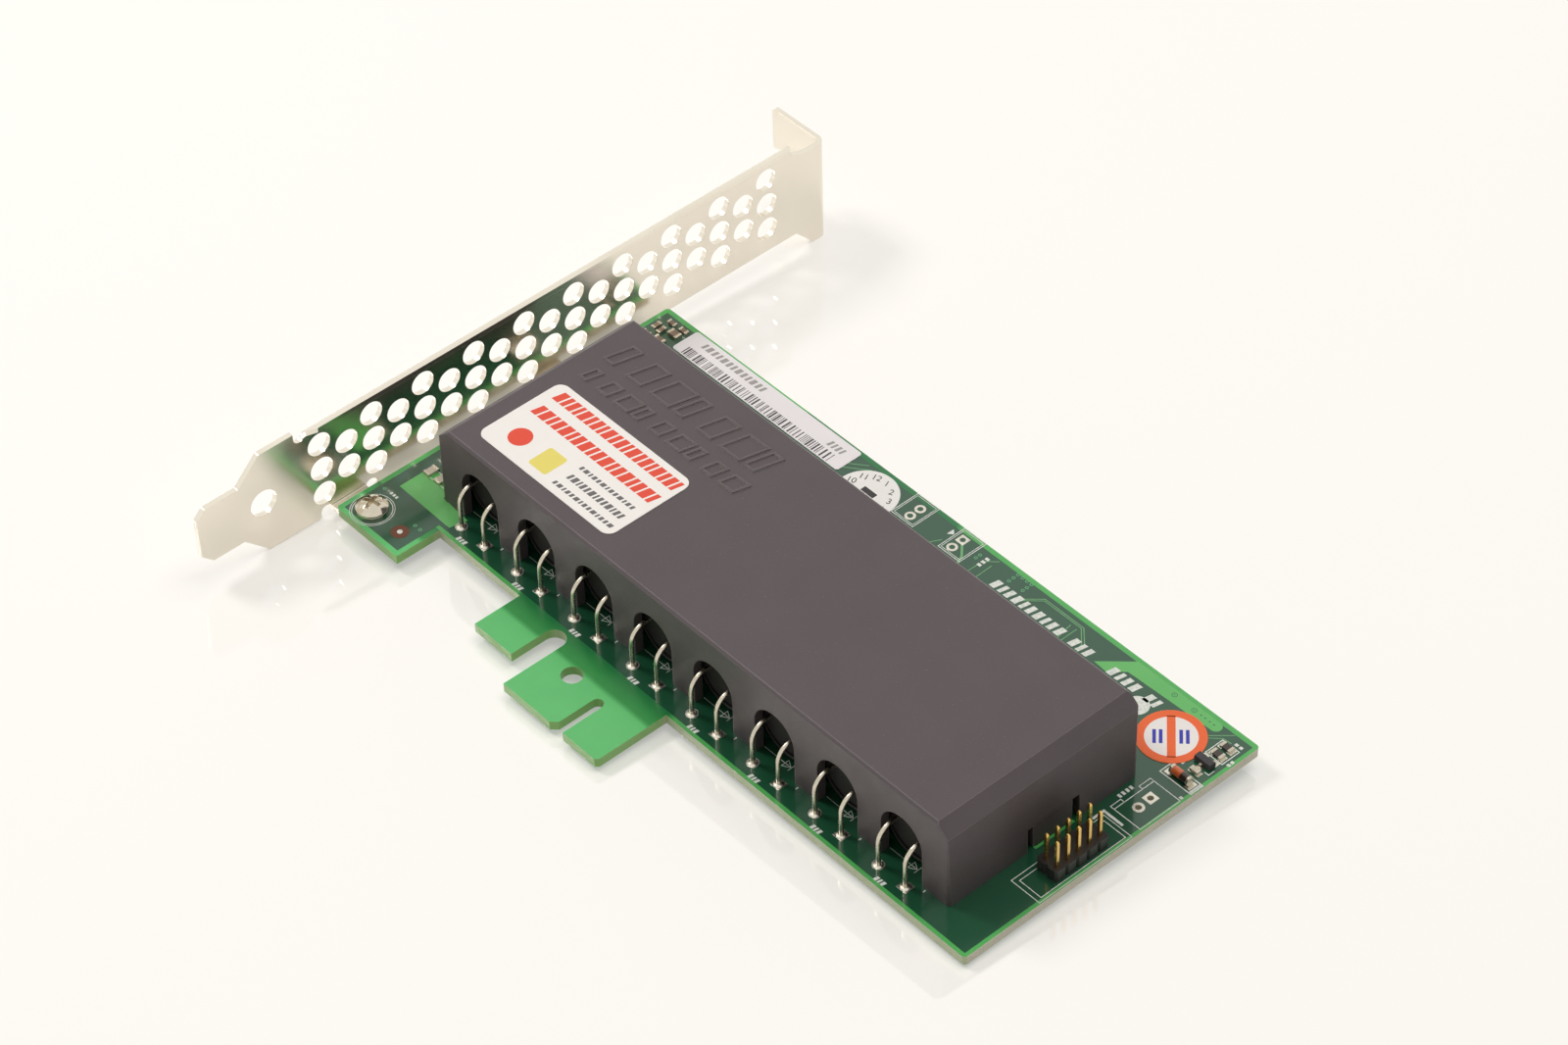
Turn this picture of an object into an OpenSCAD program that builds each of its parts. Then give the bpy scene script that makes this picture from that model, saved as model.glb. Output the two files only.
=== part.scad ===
// Backup power card in PCI Express form, lying flat with its components up: a vented steel bracket, a
// board with edge tabs, and eight capacitors in a row under a moulded cover. Millimetres.
//
// Inside the modules every place is in the card's own frame: x from the inner face of the bracket's
// panel towards the far end of the board, y from the tip of the bracket's tongue towards its flange,
// and z from the board's top face. place() moves that frame once, so that the origin is the middle of
// the footprint, on the ground.

/* [Board] */
// Height of the board's main body, without the tabs
board_height = 55.55; // [54:0.05:62]
// Thickness of the board
board_thick = 1.57; // [1.2:0.01:1.6]
// Gap between the bracket's panel and the board
board_gap = 2.1; // [1.8:0.1:2.6]
// How far the board runs on past the cover, at its far end
end_margin = 7.7; // [7.5:0.1:20]
// Width of the tab beside the key slot, on the bracket's side
wide_tab_width = 10.95; // [9:0.05:14]
// Width of the tab beside the key slot, on the far side
narrow_tab_width = 7.2; // [4:0.1:20]
// How far these two tabs reach below the main body
tab_reach = 12.65; // [11:0.05:14]
// Width of the key slot between them
key_slot = 1.9; // [1.5:0.1:2.2]
// Diameter of the hole in the wide tab
tab_hole = 3.3; // [2:0.1:4]

/* [Bracket] */
// Length of the bracket, from the tip of the tongue to the flange's outer face
bracket_length = 120.02; // [119:0.01:130]
// Width of the vented panel
panel_width = 18.5; // [18.42:0.01:19]
// Thickness of the sheet
sheet = 0.86; // [0.7:0.01:1.0]
// How far the flange stands out from the panel's inner face
flange_depth = 11.43; // [10:0.01:14]
// Width of the tongue
tongue_width = 10.19; // [9:0.01:11]
// Diameter of the hole in the tongue
tongue_hole = 4.6; // [3:0.1:5]
// Diameter of a vent hole
vent_hole = 4.0; // [2.5:0.1:4.2]
// Number of columns of vent holes, in turn three and two holes high
vent_columns = 19; // [3:2:19]
// Width of the screw notch in the flange
screw_notch = 4.42; // [4:0.01:5]

/* [Capacitors] */
// Diameter of a capacitor
cap_diameter = 12.5; // [12:0.1:14]
// Length of a capacitor's can
cap_length = 31.5; // [28:0.5:32]
// Distance between the two leads of a capacitor
lead_spacing = 5.32; // [3.5:0.01:6]
// Diameter of a lead
lead_diameter = 0.7; // [0.5:0.05:0.8]

/* [Cover] */
// Wall thickness
cover_wall = 1.5; // [1:0.1:1.5]
// Width of an arched window
window_width = 8.1; // [7:0.1:9]

/* [Pin header] */
// Pins along each of the two rows
header_pins_per_row = 5; // [2:1:5]
// Pitch of the pins
header_pitch = 2; // [1.8:0.1:2]
// Height of the pins over the board
header_height = 6.7; // [4:0.1:9]

/* [Hidden] */
cap_count = 8;
function numbered(name) = [for (i = [1:cap_count]) str(name, "_", i)];

fine = 64;
small = 32;
reach = 1;          // how far a cutting shape runs past what it cuts
joint_gap = 0.01;   // keeps solder, plastic and metal apart as solids

// Capacitors, and the cover that follows from their size
cap_play = 0.166;   // between two cans
cap_pitch = cap_diameter + cap_play;
cap_height = cap_diameter / 2 + 0.55;
seal_depth = 2.6;
seal_radius = cap_diameter / 2 - 1;
rim_corner = 0.5;
crimp = 0.4;        // depth of the groove that holds the seal
lead_bend = 2.5;
lead_hole = lead_diameter + 0.3;
tail = -2.6;        // lower end of the leads and pins

cover_low = [11.4, 34.6];
cover_ends = 2.836; // from the row of cans to the cover's ends
cover_front = 2;    // from the cover's near face to the cans
cover_back = 2.2;
cover_length = cap_count * cap_pitch + 2 * cover_ends;
cover_width = cap_length + cover_front + cover_back;
cover_top_wall = 1.6;
cover_ceiling = cap_height + cap_diameter / 2 + 0.15;
cover_height = cover_ceiling + cover_top_wall;
cover_high = cover_low + [cover_length, cover_width];
bevel = [2.2, 2];   // at both ends, along x and down
edge_cut = 0.4;     // along the long top edges
draft = 0.35;
corner_near = 0.6;
corner_far = 1.75;
window_height = cap_height + 3.5;
slit_width = 1.2;
snap_width = 7.3;
snap_start = 50.2;
slits = [[snap_start - slit_width, snap_start],
    [snap_start + snap_width, snap_start + snap_width + slit_width]];
slit_height = 4.3;
snap_recess = 0.25;
hook_play = 0.5;
hook_reach = 0.55;
hook_drop = 1;
raised = 0.2;       // height of the moulded marks
raised_rows = [[17, 61, 7, 5.1, 5], [17.5, 56, 9, 3.8, 3]];     // x, y, count, pitch, height

cap_shift = 0.18;   // how far the row of cans sits off the cover's middle
first_cap = cover_low.x + cover_ends + cap_pitch / 2 - cap_shift;
can_start = cover_low.y + cover_front;
lead_y = cover_low.y - 1.7;

// Board
board_end = cover_high.x + end_margin;
board_low = 30.1;   // lower edge of the main body
board_high = board_low + board_height;
board_corner = 0.6;
ear_size = [14, 7.9];
low_tab_start = 34.3;
low_tab_size = [8.1, 8.2];
tab_notch = 3.7;    // between the low tab and the wide one
low_tab_end = low_tab_start + low_tab_size.x;
wide_tab_start = low_tab_end + tab_notch;
wide_tab_end = wide_tab_start + wide_tab_width;
narrow_tab_start = wide_tab_end + key_slot;
narrow_tab_end = narrow_tab_start + narrow_tab_width;
tab_chamfer = 0.95;
key_slot_end = board_low - 5.6;
notch_middle = [low_tab_end + tab_notch / 2, board_low - tab_notch / 2 - 0.15];
tab_hole_place = [wide_tab_start + 5.3, board_low - 4.6];

// Bracket
bend = 0.14;        // inner radius of the small folds
flange_bend = 0.74; // inner radius of the flange's fold
card_middle = 6.35; // centre line of the slot over the board's top face
panel_low = card_middle - panel_width / 2;
panel_high = card_middle + panel_width / 2;
tongue_low = card_middle - tongue_width / 2;
tongue_high = card_middle + tongue_width / 2;
tongue_end = 7.4;   // where the tongue widens into the panel
shoulder = (panel_width - tongue_width) / 2;
tongue_corner = [1.9, 1.5];         // what the tip's lower and upper corner lose
tongue_hole_y = 11.4;
flange_low = -6.6;
flange_high = 12;
flange_start = bracket_length - 4.42;
flange_step = 3.5;  // length of the slanted step down to the flange's width
flange_corners = [1.5, 0.6];
notch_height = 2.2; // centre of the screw notch
notch_depth = 7;
lip_top = 15;
lip_depth = 0.7;
lip_start = 19.8;
lip_end = bracket_length - 7.52;
lip_taper = 1.8;
lip_relief = [18.67, 14.6];
relief_hole = 1;    // radius of the relief notches
relief_top = -1;    // top of those beside the mounting ears
vent_margins = [21.9, 12.386];      // from the tongue's tip and from the flange
vent_top = 11.156;
vent_pitch = [(bracket_length - vent_margins[0] - vent_margins[1]) / (vent_columns - 1), 4.817];
ear_width = 6.2;
ear_end = 9.8;
ear_corner = 1.5;
screw_places = [[6.2, 25.6], [6.2, 63.6]];
ear_offset = 0.4;   // middle of an ear past its screw, along y
screw_hole = 3.2;
thread = 3;
thread_play = 0.05;
head_diameter = 4.9;
head_height = 1.9;
head_dome = 3.5;
screw_length = 3.2;
cross_size = [2.8, 0.64, 1.1];      // length, width and depth of the head's cross

// Pin header, and the pads of a two-wire connector beside it
header_middle = [board_end - 3.175, 52.95];
header_base_height = 2;
header_corner = 0.35;
pin_width = 0.5;
pin_taper = 0.4;
pin_hole = 0.9;
wire_pads = [[board_end - 3.5, 68], [board_end - 3.4, 65.6]];
wire_hole = 0.9;

// Small parts: sizes are length, width and height
plating = 0.03;
resistor_size = [1.9, 1.1, 0.5];
resistor_place = [board_end - 2.85, board_high - 3.55];
resistor_step = 1.8;
transistor_place = [board_end - 3, board_high - 7.75];
transistor_length = 2.9;
leg_width = 0.44;
leg_spacing = 0.95;
diode_place = [board_end - 3.25, board_high - 12.05, 0.75];
diode_glass = [1.36, 2.7];          // diameter and length
diode_cap = [1.46, 0.42];
ceramic_size = [1.5, 0.8, 0.6];
ceramic_place = [board_end - 2.8, board_high - 9.8];
small_chip = [1.6, 0.8, 0.5];
large_chip = [2, 1.25, 0.6];
corner_place = [board_gap, board_high];
ear_chip = [2, 1.3, 0.55];
ear_chip_places = [[5.9, 36.8], [8.3, 36.8]];

// Stickers
label_thick = 0.12;
cover_label_place = cover_low + [5.5, 3];
cover_label_size = [29, 15.8];
cover_label_corner = 1.6;
long_label_place = [board_gap + 7.2, board_high - 5.45];
long_label_size = [36.7, 5.1];
long_label_corner = 0.5;
month_sticker_place = [52.6, board_high - 5.75];
ring_sticker_place = [board_end - 9.6, board_high - 7.55];
sticker_radius = 5;

module place()
    translate([(flange_depth - board_end) / 2, -bracket_length / 2, -flange_low]) children();

// A flat outline drawn in (y, z), thickened along x from the given place
module along_x(from, thick)
    translate([from, 0, 0]) rotate([90, 0, 90]) linear_extrude(thick) children();

// A flat outline drawn in (x, z), thickened along y from the given place
module along_y(from, thick)
    translate([0, from + thick, 0]) rotate([90, 0, 0]) linear_extrude(thick) children();

module rectangle(low, high)
    translate(low) square(high - low);

module box(low, high)
    translate(low) cube(high - low);

// What a round corner takes away at the origin, on the side of +x and +y
module corner_waste(radius)
    difference() {
        translate([-reach, -reach]) square(radius + reach);
        translate([radius, radius]) circle(radius, $fn = fine);
    }

// A rectangle with round corners: the radius at low y, and the one at high y
module rounded_plan(low, high, near, far)
    difference() {
        rectangle(low, high);
        translate(low) corner_waste(near);
        translate([high.x, low.y]) mirror([1, 0]) corner_waste(near);
        translate([low.x, high.y]) mirror([0, 1]) corner_waste(far);
        translate(high) rotate(180) corner_waste(far);
    }

function cap_x(i) = first_cap + cap_pitch * (i - 1);

function lead_places() =
    [for (i = [1:cap_count], side = [-1, 1]) [cap_x(i) + side * lead_spacing / 2, lead_y]];

function pin_places() =
    [for (row = [-0.5, 0.5], i = [0:header_pins_per_row - 1])
        header_middle + header_pitch * [row, i - (header_pins_per_row - 1) / 2]];

// ---- Board ----

// The ear beside the bracket, whose outer corner is round
module board_ear() {
    low = [board_gap, board_low - ear_size.y];
    rounded_plan(low, low + ear_size + [board_corner, reach], board_corner, board_corner);
}

module board_outline() {
    tab_end = board_low - tab_reach;
    rounded_plan([board_gap, board_low], [board_end, board_high], board_corner, board_corner);
    intersection() {
        board_ear();
        rectangle([board_gap, 0], [board_gap + ear_size.x, board_high]);
    }
    rectangle([board_gap, board_low - reach], [board_gap + ear_size.x, board_low + reach]);
    difference() {
        union() {
            rectangle([low_tab_start, board_low - low_tab_size.y], [low_tab_end, board_low + reach]);
            rectangle([low_tab_end - reach, notch_middle.y], [wide_tab_start + reach, board_low + reach]);
        }
        translate(notch_middle) circle(d = tab_notch, $fn = fine);
    }
    difference() {
        polygon([[wide_tab_start, board_low + reach], [wide_tab_start, tab_end],
            [wide_tab_end - tab_chamfer, tab_end], [wide_tab_end, tab_end + tab_chamfer],
            [wide_tab_end, key_slot_end], [narrow_tab_start, key_slot_end],
            [narrow_tab_start, tab_end], [narrow_tab_end - tab_chamfer / 2, tab_end],
            [narrow_tab_end, tab_end + tab_chamfer / 2], [narrow_tab_end, board_low + reach]]);
        translate([wide_tab_end + key_slot / 2, key_slot_end]) circle(d = key_slot, $fn = fine);
    }
}

module drill(at, diameter)
    translate([at.x, at.y, -board_thick - reach])
        cylinder(d = diameter, h = board_thick + 2 * reach, $fn = small);

// The slot that a snap tongue of the cover passes through; end is -1 at the bracket, 1 at the far end
module snap_slot(end) {
    face = end < 0 ? cover_low.x : cover_high.x;
    outer = face - end * (snap_recess - hook_play / 5);
    inner = face - end * (cover_wall + hook_reach + hook_play / 4);
    box([min(inner, outer), snap_start + hook_play * 0.8, -board_thick - reach],
        [max(inner, outer), snap_start + snap_width - hook_play * 0.8, reach]);
}

module board()
    color([0.1, 0.3, 0.2]) place() difference() {
        translate([0, 0, -board_thick]) linear_extrude(board_thick) board_outline();
        drill(tab_hole_place, tab_hole);
        for (at = screw_places) drill(at, screw_hole);
        for (at = wire_pads) drill(at, wire_hole);
        for (at = lead_places()) drill(at, lead_hole);
        for (at = pin_places()) drill(at, pin_hole);
        for (end = [-1, 1]) snap_slot(end);
    }

// ---- Bracket ----

// The flat blank of the panel and the tongue, in (y, z), up to the folds
module panel_outline() {
    panel_start = tongue_end + shoulder;
    fold = lip_top - sheet - bend;
    flange_fold = bracket_length - flange_bend - sheet;
    difference() {
        polygon([
            [0, tongue_low + tongue_corner[0]], [tongue_corner[0], tongue_low],
            [tongue_end, tongue_low], [panel_start, panel_low],
            [flange_start - flange_step * 0.6, panel_low], [flange_start + flange_step * 0.4, flange_low],
            [flange_fold, flange_low], [flange_fold, flange_high], [flange_start, flange_high],
            [lip_end + relief_hole / 2, flange_high + relief_hole], [lip_end, fold],
            [lip_relief.x, fold], [lip_relief.x, panel_high], [panel_start, panel_high],
            [tongue_end, tongue_high], [tongue_corner[1], tongue_high],
            [0, tongue_high - tongue_corner[1]]]);
        translate(lip_relief) circle(relief_hole, $fn = fine);
        translate(lip_relief - [relief_hole, 0]) square(2 * relief_hole);
        for (at = screw_places) ear_gap(at.y + ear_offset);
    }
}

// What is cut from the panel's lower edge round a mounting ear
module ear_gap(y) {
    half = ear_width / 2;
    rectangle([y - half, panel_low - reach], [y + half, -board_thick + bend]);
    for (side = [-1, 1]) translate([y + side * (half + relief_hole), 0]) {
        rectangle([-relief_hole, panel_low - reach], [relief_hole, relief_top - relief_hole]);
        translate([0, relief_top - relief_hole]) circle(relief_hole, $fn = fine);
    }
}

// A quarter turn of sheet about the origin, on the side of -x and +y
module quarter_turn(inner)
    intersection() {
        difference() {
            circle(inner + sheet, $fn = fine);
            circle(inner, $fn = fine);
        }
        translate([-inner - sheet, 0]) square(inner + sheet);
    }

module stiffening_lip() {
    translate([bend, lip_end, lip_top - sheet - bend]) rotate([90, 0, 0])
        linear_extrude(lip_end - lip_start) quarter_turn(bend);
    translate([0, 0, lip_top - sheet]) linear_extrude(sheet)
        polygon([[bend, lip_start], [lip_depth, lip_start + lip_taper],
            [lip_depth, lip_end - lip_taper / 3], [bend, lip_end]]);
}

module mounting_ear(at) {
    low = at.y + ear_offset - ear_width / 2;
    translate([bend, low + ear_width, -board_thick + bend]) rotate([90, 0, 0])
        linear_extrude(ear_width) mirror([0, 1]) quarter_turn(bend);
    difference() {
        translate([0, 0, -board_thick - sheet]) linear_extrude(sheet) union() {
            rectangle([bend, low], [ear_end / 2, low + ear_width]);
            rounded_plan([ear_end / 4, low], [ear_end, low + ear_width], ear_corner, ear_corner);
        }
        translate([at.x, at.y, -board_thick - sheet - reach])
            cylinder(d = thread, h = sheet + 2 * reach, $fn = small);
    }
}

// The flange, with the notch for the chassis screw open towards -x
module flange() {
    turn = flange_bend + sheet;
    notch_end = notch_depth - flange_depth - screw_notch / 2;
    translate([-turn, bracket_length - turn, flange_low])
        linear_extrude(flange_high - flange_low) mirror([1, 0]) quarter_turn(flange_bend);
    along_y(bracket_length - sheet, sheet) difference() {
        intersection() {
            rounded_plan([-flange_depth, flange_low], [reach, flange_high],
                flange_corners[0], flange_corners[1]);
            rectangle([-flange_depth, flange_low], [-turn, flange_high]);
        }
        translate([notch_end, notch_height]) circle(d = screw_notch, $fn = fine);
        rectangle([-flange_depth - reach, notch_height - screw_notch / 2],
            [notch_end, notch_height + screw_notch / 2]);
    }
}

module vents()
    for (column = [0:vent_columns - 1]) {
        odd = column % 2;
        for (row = [0:2 - odd])
            translate([-sheet - reach, vent_margins[0] + vent_pitch.x * column,
                vent_top - vent_pitch.y * (row + odd / 2)])
                rotate([0, 90, 0]) cylinder(d = vent_hole, h = sheet + 2 * reach, $fn = small);
    }

module bracket()
    color([0.82, 0.79, 0.72]) place() union() {
        difference() {
            along_x(-sheet, sheet) panel_outline();
            vents();
            translate([-sheet - reach, tongue_hole_y, card_middle]) rotate([0, 90, 0])
                cylinder(d = tongue_hole, h = sheet + 2 * reach, $fn = fine);
        }
        stiffening_lip();
        for (at = screw_places) mounting_ear(at);
        flange();
    }

module bracket_screws()
    color([0.8, 0.8, 0.78]) place() for (at = screw_places) translate([at.x, at.y, 0])
        difference() {
            union() {
                intersection() {
                    cylinder(d = head_diameter, h = head_height, $fn = fine);
                    translate([0, 0, head_height - head_dome]) sphere(head_dome, $fn = fine);
                }
                translate([0, 0, -screw_length])
                    cylinder(r = thread / 2 - thread_play, h = screw_length, $fn = small);
            }
            for (turn = [0, 90]) rotate(20 + turn)
                box([-cross_size.x / 2, -cross_size.y / 2, head_height - cross_size.z],
                    [cross_size.x / 2, cross_size.y / 2, head_height + reach]);
        }

// ---- Cover ----

// The cover's outer form, or its hollow when inset by the wall
module cover_form(inset, low, top) {
    x = [cover_low.x + inset, cover_high.x - inset];
    y = [cover_low.y + inset, cover_high.y - inset];
    cut = inset > 0 ? edge_cut / 4 : edge_cut;
    intersection() {
        along_y(y[0] - reach, y[1] - y[0] + 2 * reach)
            polygon([[x[0], low], [x[1], low], [x[1] - draft, top - bevel.y],
                [x[1] - draft - bevel.x, top], [x[0] + draft + bevel.x, top],
                [x[0] + draft, top - bevel.y]]);
        along_x(x[0] - reach, x[1] - x[0] + 2 * reach)
            polygon([[y[0], low], [y[1], low], [y[1] - draft, top - cut],
                [y[1] - draft - cut, top], [y[0] + cut, top], [y[0], top - cut]]);
        translate([0, 0, low]) linear_extrude(top - low)
            rounded_plan([x[0], y[0]], [x[1], y[1]], corner_near, inset > 0 ? corner_near : corner_far);
    }
}

module arched_window(x)
    along_y(cover_low.y - reach, cover_wall + 2 * reach) {
        translate([x, window_height - window_width / 2]) circle(d = window_width, $fn = fine);
        rectangle([x - window_width / 2, -reach],
            [x + window_width / 2, window_height - window_width / 2]);
    }

// The slits beside a snap tongue, and its set-back face
module snap_cut(end) {
    face = end < 0 ? cover_low.x : cover_high.x;
    deep = face - end * (cover_wall + draft);
    flush = face - end * snap_recess;
    past = face + end * reach;
    for (slit = slits)
        box([min(deep, past), slit[0], -reach], [max(deep, past), slit[1], slit_height]);
    box([min(flush, past), snap_start - slit_width / 2, -reach],
        [max(flush, past), snap_start + snap_width + slit_width / 2, slit_height]);
}

// The stretch of a snap tongue below the cover, with its hook under the board
module snap_hook(end) {
    face = end < 0 ? cover_low.x : cover_high.x;
    under = -board_thick - 5 * joint_gap;
    root = slit_height / 8;
    along_y(snap_start + hook_play, snap_width - 2 * hook_play)
        polygon([for (p = [[snap_recess, root], [snap_recess, under - hook_drop * 0.6],
            [2.5 * snap_recess, under - hook_drop], [cover_wall - snap_recess, under - hook_drop],
            [cover_wall + hook_reach, under], [cover_wall, under], [cover_wall, root]])
            [face - end * p[0], p[1]]]);
}

// One raised mark of the moulded rows: a leaning frame
module leaning_frame(width, height, stroke) {
    lean = height * 0.25;
    difference() {
        polygon([[0, 0], [width, 0], [width + lean, height], [lean, height]]);
        translate([stroke * (1 + lean / height), stroke])
            polygon([[0, 0], [width - 2 * stroke, 0],
                [width - 2 * stroke + lean * (1 - 2 * stroke / height), height - 2 * stroke],
                [lean * (1 - 2 * stroke / height), height - 2 * stroke]]);
    }
}

module raised_row(x, y, count, pitch, height)
    for (i = [0:count - 1]) translate([x + pitch * i, y, cover_height - raised])
        linear_extrude(2 * raised) leaning_frame(pitch * (0.45 + 0.2 * (i % 3)), height, 2 * raised);

module capacitor_cover()
    color([0.2, 0.18, 0.19]) place() {
        difference() {
            cover_form(0, 0, cover_height);
            cover_form(cover_wall, -reach, cover_ceiling);
            for (i = [1:cap_count]) arched_window(cap_x(i));
            for (end = [-1, 1]) snap_cut(end);
        }
        for (end = [-1, 1]) snap_hook(end);
        for (row = raised_rows) raised_row(row[0], row[1], row[2], row[3], row[4]);
    }

// ---- Capacitors ----

// Turns a capacitor drawn upright so that its lead end faces the tabs
module lying(i)
    translate([cap_x(i), can_start, cap_height]) rotate([-90, 0, 0]) children();

module capacitor(i) {
    r = cap_diameter / 2;
    rim = seal_radius + 5 * joint_gap;
    color([0.25, 0.27, 0.3]) place() lying(i) rotate_extrude($fn = fine)
        polygon([[0, seal_depth], [rim, seal_depth], [rim, 0], [r - rim_corner, 0], [r, rim_corner],
            [r, seal_depth - crimp], [r - crimp, seal_depth], [r - crimp, seal_depth + crimp],
            [r, seal_depth + 2 * crimp], [r, cap_length - rim_corner],
            [r - rim_corner, cap_length], [0, cap_length]]);
}

module capacitor_seal(i)
    color([0.12, 0.12, 0.12]) place() lying(i) difference() {
        translate([0, 0, seal_depth / 8])
            cylinder(r = seal_radius, h = seal_depth * 7 / 8, $fn = fine);
        for (side = [-1, 1]) translate([side * lead_spacing / 2, 0, 0])
            cylinder(d = lead_diameter + 4 * joint_gap, h = seal_depth + reach, $fn = small);
    }

// Two wires that run from inside the can, turn down and pass through the board
module capacitor_leads(i) {
    level = cap_height - lead_bend;
    turn_y = lead_y + lead_bend;
    color([0.8, 0.8, 0.8]) place() for (side = [-1, 1])
        translate([cap_x(i) + side * lead_spacing / 2, 0, 0]) {
            translate([0, lead_y, tail])
                cylinder(d = lead_diameter, h = level - tail, $fn = small);
            translate([0, turn_y, level]) rotate([90, 0, -90]) rotate_extrude(angle = 90, $fn = fine)
                translate([lead_bend, 0]) circle(d = lead_diameter, $fn = small);
            translate([0, turn_y, cap_height]) rotate([-90, 0, 0])
                cylinder(d = lead_diameter, h = can_start + seal_depth - turn_y, $fn = small);
        }
}

// Solder of a pin or wire: a barrel in the hole, a low collar above and a taller cone below
module solder_joint(hole, collar, cone) {
    translate([0, 0, -board_thick]) cylinder(d = hole - 2 * joint_gap, h = board_thick, $fn = small);
    if (collar > 0) cylinder(r1 = hole / 2 + 1.4 * collar, r2 = hole / 2, h = collar, $fn = small);
    translate([0, 0, -board_thick - cone])
        cylinder(r1 = hole / 2, r2 = hole / 2 + cone / 2, h = cone, $fn = small);
}

module lead_solder()
    color([0.7, 0.72, 0.72]) place() for (at = lead_places()) translate([at.x, at.y, 0])
        difference() {
            solder_joint(lead_hole, 0.25, 0.75);
            translate([0, 0, tail - reach])
                cylinder(d = lead_diameter + 2 * joint_gap, h = 2 * reach - tail, $fn = small);
        }

// ---- Pin header ----

// The square hole that a pin fills
module pin_gap(low, high) {
    half = pin_width / 2 + joint_gap;
    box([-half, -half, low], [half, half, high]);
}

module header_base() {
    span = header_pitch * (header_pins_per_row - 1) / 2;
    half = header_pitch / 2;
    cut = header_corner;
    color([0.08, 0.08, 0.08]) place() difference() {
        union() {
            for (at = pin_places()) translate([at.x, at.y, 0]) linear_extrude(header_base_height)
                polygon([[-half, cut - half], [cut - half, -half], [half - cut, -half],
                    [half, cut - half], [half, half - cut], [half - cut, half],
                    [cut - half, half], [-half, half - cut]]);
            box([header_middle.x - half, header_middle.y - span - half + cut, 0],
                [header_middle.x + half, header_middle.y + span + half - cut, header_base_height]);
        }
        for (at = pin_places())
            translate([at.x, at.y, 0]) pin_gap(-reach, header_base_height + reach);
    }
}

// One face of a square pin, with both ends tapered
module pin_outline() {
    half = pin_width / 2;
    polygon([[-half, tail + pin_taper], [-half / 2, tail], [half / 2, tail], [half, tail + pin_taper],
        [half, header_height - pin_taper], [half / 2, header_height], [-half / 2, header_height],
        [-half, header_height - pin_taper]]);
}

module header_pins()
    color([0.85, 0.68, 0.3]) place() for (at = pin_places()) translate([at.x, at.y, 0])
        intersection() {
            along_x(-pin_width, 2 * pin_width) pin_outline();
            along_y(-pin_width, 2 * pin_width) pin_outline();
        }

module header_solder()
    color([0.7, 0.72, 0.72]) place() for (at = pin_places()) translate([at.x, at.y, 0])
        difference() {
            solder_joint(pin_hole, 0, 0.6);
            pin_gap(tail - reach, reach);
        }

// ---- Small surface-mount parts ----

// A chip with plated ends that wrap round its body
module chip(at, size, turn = 0)
    translate([at.x, at.y, 0]) rotate(turn) {
        end = size.x * 0.22;
        box([-size.x / 2 + plating, -size.y / 2 + plating, plating],
            [size.x / 2 - plating, size.y / 2 - plating, size.z - plating]);
        for (side = [-1, 1])
            box([side * (size.x - end) / 2 - end / 2, -size.y / 2, 0],
                [side * (size.x - end) / 2 + end / 2, size.y / 2, size.z]);
    }

module corner_resistors()
    color([0.3, 0.28, 0.26]) place()
        for (i = [0, 1]) chip(resistor_place - [0, i * resistor_step], resistor_size);

module transistor_body()
    color([0.15, 0.15, 0.15]) place() translate(transistor_place)
        along_x(-transistor_length / 2, transistor_length)
            polygon([[-0.6, 0.1], [-0.65, 0.42], [-0.65, 0.62], [-0.52, 1.05],
                [0.52, 1.05], [0.65, 0.62], [0.65, 0.42], [0.6, 0.1]]);

// Two legs on one long side and one on the other
module transistor_legs()
    color([0.8, 0.8, 0.8]) place() translate(transistor_place)
        for (leg = [[-leg_spacing, 1], [leg_spacing, 1], [0, -1]])
            along_x(leg[0] - leg_width / 2, leg_width) scale([leg[1], 1])
                polygon([[0.65, 0.45], [0.85, 0.45], [0.92, 0], [1.25, 0], [1.25, 0.13],
                    [1.03, 0.13], [0.96, 0.58], [0.65, 0.58]]);

module diode_body()
    color([0.8, 0.35, 0.15]) place() translate(diode_place) rotate([0, 90, 0])
        cylinder(d = diode_glass[0], h = diode_glass[1], center = true, $fn = fine);

module diode_caps()
    color([0.8, 0.8, 0.8]) place() for (side = [-1, 1])
        translate(diode_place + [side * (diode_glass[1] + diode_cap[1]) / 2, 0, 0])
            rotate([0, 90, 0])
                cylinder(d = diode_cap[0], h = diode_cap[1], center = true, $fn = fine);

module ceramic_chip()
    color([0.85, 0.82, 0.75]) place() chip(ceramic_place, ceramic_size);

// The group in the corner beside the bracket, placed from that corner of the board
module bracket_side_chips()
    color([0.6, 0.52, 0.45]) place() {
        for (at = [[3.4, -2.05], [5.9, -1.95], [2.3, -6.25]]) chip(corner_place + at, small_chip);
        for (at = [[5.5, -3.45], [4.9, -6.05]]) chip(corner_place + at, large_chip);
        for (at = [[2.1, -4.05], [3.4, -4.25]]) chip(corner_place + at, small_chip, 90);
    }

module ear_chips()
    color([0.8, 0.78, 0.72]) place() for (at = ear_chip_places) chip(at, ear_chip, 90);

// ---- Stickers ----

// A thin sticker with round corners, on a surface at the given height
module sticker(low, size, radius, level)
    translate([0, 0, level]) linear_extrude(label_thick) rounded_plan(low, low + size, radius, radius);

module round_sticker(at)
    translate([at.x, at.y, 0]) cylinder(r = sticker_radius, h = label_thick, $fn = fine);

module cover_label()
    color([0.95, 0.9, 0.85]) place()
        sticker(cover_label_place, cover_label_size, cover_label_corner, cover_height);

module long_label()
    color([0.95, 0.95, 0.95]) place()
        sticker(long_label_place, long_label_size, long_label_corner, 0);

module month_sticker()
    color([0.92, 0.92, 0.92]) place() round_sticker(month_sticker_place);

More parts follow.
